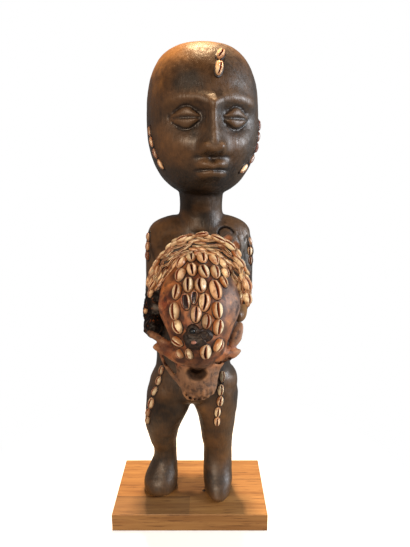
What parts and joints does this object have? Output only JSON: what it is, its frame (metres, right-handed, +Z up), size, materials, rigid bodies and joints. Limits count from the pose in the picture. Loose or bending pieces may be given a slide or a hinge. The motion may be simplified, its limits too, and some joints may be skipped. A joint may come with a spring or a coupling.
{
  "type": "carved power figure",
  "caption": "Standing carved wooden figure with an ape skull and cowrie shells set in resin over the belly, on an oak plinth.",
  "frame": {"origin": "middle of the plinth's underside", "axes": "+Z up, -Y the way the figure faces, +X to the viewer's right"},
  "size_m": [0.21, 0.1766, 0.6201],
  "materials": {
    "carved_wood": "dark handled patina, half gloss",
    "bone": "old bone stained red-brown and rubbed to a soft gloss",
    "resin": "dark crusted tree resin",
    "shell": "cream cowrie shell, glossy, stained with resin",
    "oak": "light sawn and sanded oak, waxed"
  },
  "bodies": {
    "root": {"oak_plinth": "oak", "figure": "carved_wood", "ape_skull": "bone", "cowrie_band": "shell", "resin_lump": "resin", "skull_cowrie_01": "shell", "skull_cowrie_02": "shell", "skull_cowrie_03": "shell", "skull_cowrie_04": "shell", "skull_cowrie_05": "shell", "skull_cowrie_06": "shell", "skull_cowrie_07": "shell", "skull_cowrie_08": "shell", "skull_cowrie_09": "shell", "skull_cowrie_10": "shell", "skull_cowrie_11": "shell", "skull_cowrie_12": "shell", "skull_cowrie_13": "shell", "skull_cowrie_14": "shell", "skull_cowrie_15": "shell", "skull_cowrie_16": "shell", "skull_cowrie_17": "shell", "skull_cowrie_18": "shell", "skull_cowrie_19": "shell", "skull_cowrie_20": "shell", "skull_cowrie_21": "shell", "skull_cowrie_22": "shell", "skull_cowrie_23": "shell", "skull_cowrie_24": "shell", "skull_cowrie_25": "shell", "skull_cowrie_26": "shell", "skull_cowrie_27": "shell", "skull_cowrie_28": "shell", "skull_cowrie_29": "shell", "forehead_cowries": "shell", "left_temple_cowries": "shell", "right_temple_cowries": "shell", "left_arm_cowries": "shell", "right_arm_cowries": "shell", "left_thigh_cowries": "shell", "right_thigh_cowries": "shell"}
  },
  "joints": []
}
